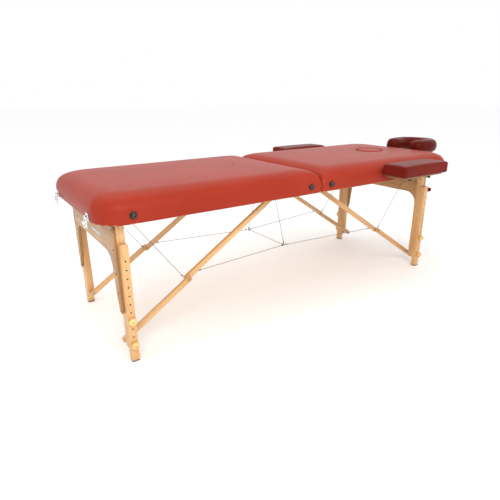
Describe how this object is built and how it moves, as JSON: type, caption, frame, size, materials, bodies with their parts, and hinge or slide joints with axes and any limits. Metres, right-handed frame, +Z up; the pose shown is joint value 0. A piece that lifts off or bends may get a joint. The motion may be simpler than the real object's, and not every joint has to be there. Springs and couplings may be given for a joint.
{
  "type": "portable massage table",
  "caption": "Folding two-section padded treatment table with wooden height-adjustable leg frames, cable-stayed folding braces, face cradle, arm sling and side armrests.",
  "frame": {"origin": "on the floor, midway along the whole table from the foot latches to the tip of the face cradle; the centre fold is at x = -0.1115", "axes": "+X along the table towards the head end, +Y across it to the far side, +Z up from the floor"},
  "size_m": [2.1069, 0.956, 0.6521],
  "materials": {
    "table_cover": "satin",
    "dark_cover": "satin",
    "deck_board": "matt",
    "plywood": "satin",
    "beech": "satin",
    "knob_wood": "satin",
    "steel_cable": "satin",
    "steel": "satin",
    "chrome": "polished",
    "rubber": "matt",
    "strap": "woven"
  },
  "bodies": {
    "foot_section": {"foot_cushion": "table_cover", "foot_side_wrap": "table_cover", "foot_deck": "deck_board", "foot_rails": "beech", "foot_pivot_blocks": "beech", "foot_pivot_pins": "steel", "foot_bumpers": "rubber", "foot_handle": "strap", "foot_hinge_leaves": "steel", "latch_bases": "chrome"},
    "head_section": {"head_cushion": "table_cover", "head_side_wrap": "table_cover", "head_deck": "deck_board", "head_rails": "beech", "head_pivot_blocks": "beech", "head_pivot_pins": "steel", "head_bumpers": "rubber", "head_handle": "strap", "head_hinge_leaves": "steel"},
    "plug": {"face_hole_plug": "table_cover"},
    "latches": {"latch_levers": "chrome"},
    "foot_legs": {"foot_posts": "beech", "foot_end_plate": "plywood", "foot_leg_bolts": "steel"},
    "head_legs": {"head_posts": "beech", "head_end_plate": "plywood", "head_leg_bolts": "steel"},
    "foot_lower_braces": {"foot_lower_struts": "beech"},
    "foot_upper_braces": {"foot_upper_struts": "beech"},
    "head_lower_braces": {"head_lower_struts": "beech"},
    "head_upper_braces": {"head_upper_struts": "beech"},
    "foot_brace_cables": {"foot_brace_cables": "steel_cable"},
    "head_brace_cables": {"head_brace_cables": "steel_cable"},
    "foot_stay_cables": {"foot_stay_cables": "steel_cable"},
    "head_stay_cables": {"head_stay_cables": "steel_cable"},
    "centre_cables": {"centre_cables": "steel_cable"},
    "cradle_carriage": {"cradle_posts": "steel"},
    "cradle": {"cradle_platform": "plywood", "cradle_cushion": "dark_cover"},
    "sling": {"arm_sling": "dark_cover"},
    "near_armrest": {"near_arm_pad": "dark_cover", "near_arm_frame": "plywood"},
    "far_armrest": {"far_arm_pad": "dark_cover", "far_arm_frame": "plywood"},
    "foot_near_foot": {"foot_near_extension": "beech", "foot_near_pad": "rubber"},
    "foot_near_upper_knob": {"foot_near_upper_knob": "knob_wood"},
    "foot_near_lower_knob": {"foot_near_lower_knob": "knob_wood"},
    "foot_far_foot": {"foot_far_extension": "beech", "foot_far_pad": "rubber"},
    "foot_far_upper_knob": {"foot_far_upper_knob": "knob_wood"},
    "foot_far_lower_knob": {"foot_far_lower_knob": "knob_wood"},
    "head_near_foot": {"head_near_extension": "beech", "head_near_pad": "rubber"},
    "head_near_upper_knob": {"head_near_upper_knob": "knob_wood"},
    "head_near_lower_knob": {"head_near_lower_knob": "knob_wood"},
    "head_far_foot": {"head_far_extension": "beech", "head_far_pad": "rubber"},
    "head_far_upper_knob": {"head_far_upper_knob": "knob_wood"},
    "head_far_lower_knob": {"head_far_lower_knob": "knob_wood"}
  },
  "joints": [
    {"name": "centre_fold", "type": "hinge", "parent": "foot_section", "child": "head_section", "pos_m": [-0.1115, 0, 0.513], "axis": [0, 1, 0], "range_deg": [0, 150]},
    {"name": "foot_leg_fold", "type": "hinge", "parent": "foot_section", "child": "foot_legs", "pos_m": [-0.955, 0, 0.542], "axis": [0, -1, 0], "range_deg": [0, 90.2]},
    {"name": "head_leg_fold", "type": "hinge", "parent": "head_section", "child": "head_legs", "pos_m": [0.66, 0, 0.542], "axis": [0, 1, 0], "range_deg": [0, 90.2]},
    {"name": "foot_upper_brace_swing", "type": "hinge", "parent": "foot_section", "child": "foot_upper_braces", "pos_m": [-0.2135, 0, 0.542], "axis": [0, 1, 0], "range_deg": [0, 32.96]},
    {"name": "head_upper_brace_swing", "type": "hinge", "parent": "head_section", "child": "head_upper_braces", "pos_m": [-0.0815, 0, 0.542], "axis": [0, -1, 0], "range_deg": [0, 32.96]},
    {"name": "foot_lower_brace_swing", "type": "hinge", "parent": "foot_legs", "child": "foot_lower_braces", "pos_m": [-0.955, 0, 0.063], "axis": [0, -1, 0], "range_deg": [0, 57.79]},
    {"name": "head_lower_brace_swing", "type": "hinge", "parent": "head_legs", "child": "head_lower_braces", "pos_m": [0.66, 0, 0.063], "axis": [0, 1, 0], "range_deg": [0, 57.79]},
    {"name": "foot_brace_cable_swing", "type": "hinge", "parent": "foot_upper_braces", "child": "foot_brace_cables", "pos_m": [-0.64376, 0, 0.24858], "axis": [0, -1, 0], "range_deg": [0, 32.96], "deforming": ["foot_brace_cables"]},
    {"name": "head_brace_cable_swing", "type": "hinge", "parent": "head_upper_braces", "child": "head_brace_cables", "pos_m": [0.34876, 0, 0.24858], "axis": [0, 1, 0], "range_deg": [0, 32.96], "deforming": ["head_brace_cables"]},
    {"name": "foot_stay_cable_swing", "type": "hinge", "parent": "foot_section", "child": "foot_stay_cables", "pos_m": [-0.937, 0, 0.551], "axis": [0, -1, 0], "range_deg": [0, 50.95], "deforming": ["foot_stay_cables"]},
    {"name": "head_stay_cable_swing", "type": "hinge", "parent": "head_section", "child": "head_stay_cables", "pos_m": [0.642, 0, 0.551], "axis": [0, 1, 0], "range_deg": [0, 50.95], "deforming": ["head_stay_cables"]},
    {"name": "centre_cable_swing", "type": "hinge", "parent": "foot_section", "child": "centre_cables", "pos_m": [-0.1615, 0, 0.515], "axis": [0, 1, 0], "range_deg": [0, 85.1], "deforming": ["centre_cables"]},
    {"name": "foot_near_foot_slide", "type": "slide", "parent": "foot_legs", "child": "foot_near_foot", "axis": [0, 0, -1], "range_m": [0, 0.1908]},
    {"name": "foot_near_upper_knob_turn", "type": "hinge", "parent": "foot_legs", "child": "foot_near_upper_knob", "pos_m": [-0.955, 0, 0.1634], "axis": [0, 1, 0], "continuous": true},
    {"name": "foot_near_lower_knob_turn", "type": "hinge", "parent": "foot_legs", "child": "foot_near_lower_knob", "pos_m": [-0.955, 0, 0.068], "axis": [0, 1, 0], "continuous": true},
    {"name": "foot_far_foot_slide", "type": "slide", "parent": "foot_legs", "child": "foot_far_foot", "axis": [0, 0, -1], "range_m": [0, 0.1908]},
    {"name": "foot_far_upper_knob_turn", "type": "hinge", "parent": "foot_legs", "child": "foot_far_upper_knob", "pos_m": [-0.955, 0, 0.1634], "axis": [0, 1, 0], "continuous": true},
    {"name": "foot_far_lower_knob_turn", "type": "hinge", "parent": "foot_legs", "child": "foot_far_lower_knob", "pos_m": [-0.955, 0, 0.068], "axis": [0, 1, 0], "continuous": true},
    {"name": "head_near_foot_slide", "type": "slide", "parent": "head_legs", "child": "head_near_foot", "axis": [0, 0, -1], "range_m": [0, 0.1908]},
    {"name": "head_near_upper_knob_turn", "type": "hinge", "parent": "head_legs", "child": "head_near_upper_knob", "pos_m": [0.66, 0, 0.1634], "axis": [0, 1, 0], "continuous": true},
    {"name": "head_near_lower_knob_turn", "type": "hinge", "parent": "head_legs", "child": "head_near_lower_knob", "pos_m": [0.66, 0, 0.068], "axis": [0, 1, 0], "continuous": true},
    {"name": "head_far_foot_slide", "type": "slide", "parent": "head_legs", "child": "head_far_foot", "axis": [0, 0, -1], "range_m": [0, 0.1908]},
    {"name": "head_far_upper_knob_turn", "type": "hinge", "parent": "head_legs", "child": "head_far_upper_knob", "pos_m": [0.66, 0, 0.1634], "axis": [0, 1, 0], "continuous": true},
    {"name": "head_far_lower_knob_turn", "type": "hinge", "parent": "head_legs", "child": "head_far_lower_knob", "pos_m": [0.66, 0, 0.068], "axis": [0, 1, 0], "continuous": true},
    {"name": "cradle_slide", "type": "slide", "parent": "head_section", "child": "cradle_carriage", "axis": [1, 0, 0], "range_m": [0, 0.08]},
    {"name": "cradle_tilt", "type": "hinge", "parent": "cradle_carriage", "child": "cradle", "pos_m": [0.8735, 0, 0.537], "axis": [0, 1, 0], "range_deg": [0, 40]},
    {"name": "sling_swing", "type": "hinge", "parent": "cradle_carriage", "child": "sling", "pos_m": [0.8735, 0, 0.537], "axis": [0, 1, 0], "range_deg": [-15, 15]},
    {"name": "near_armrest_slide", "type": "slide", "parent": "head_section", "child": "near_armrest", "axis": [0, -1, 0], "range_m": [0, 0.016]},
    {"name": "far_armrest_slide", "type": "slide", "parent": "head_section", "child": "far_armrest", "axis": [0, 1, 0], "range_m": [0, 0.016]},
    {"name": "plug_lift", "type": "slide", "parent": "head_section", "child": "plug", "axis": [0, 0, 1], "range_m": [0, 0.12]},
    {"name": "latch_turn", "type": "hinge", "parent": "foot_section", "child": "latches", "pos_m": [-1.0425, 0, 0.531], "axis": [0, 1, 0], "range_deg": [0, 100]}
  ],
  "couplings": [
    {"joint": "foot_leg_fold", "follows": "centre_fold", "ratio": 0.6},
    {"joint": "head_leg_fold", "follows": "centre_fold", "ratio": 0.6},
    {"joint": "foot_upper_brace_swing", "follows": "centre_fold", "ratio": 0.21907},
    {"joint": "head_upper_brace_swing", "follows": "centre_fold", "ratio": 0.21907},
    {"joint": "foot_lower_brace_swing", "follows": "centre_fold", "ratio": 0.38458},
    {"joint": "head_lower_brace_swing", "follows": "centre_fold", "ratio": 0.38458},
    {"joint": "foot_brace_cable_swing", "follows": "centre_fold", "ratio": 0.21907},
    {"joint": "head_brace_cable_swing", "follows": "centre_fold", "ratio": 0.21907},
    {"joint": "foot_stay_cable_swing", "follows": "centre_fold", "ratio": 0.33902},
    {"joint": "head_stay_cable_swing", "follows": "centre_fold", "ratio": 0.33902},
    {"joint": "centre_cable_swing", "follows": "centre_fold", "ratio": 0.56666}
  ]
}
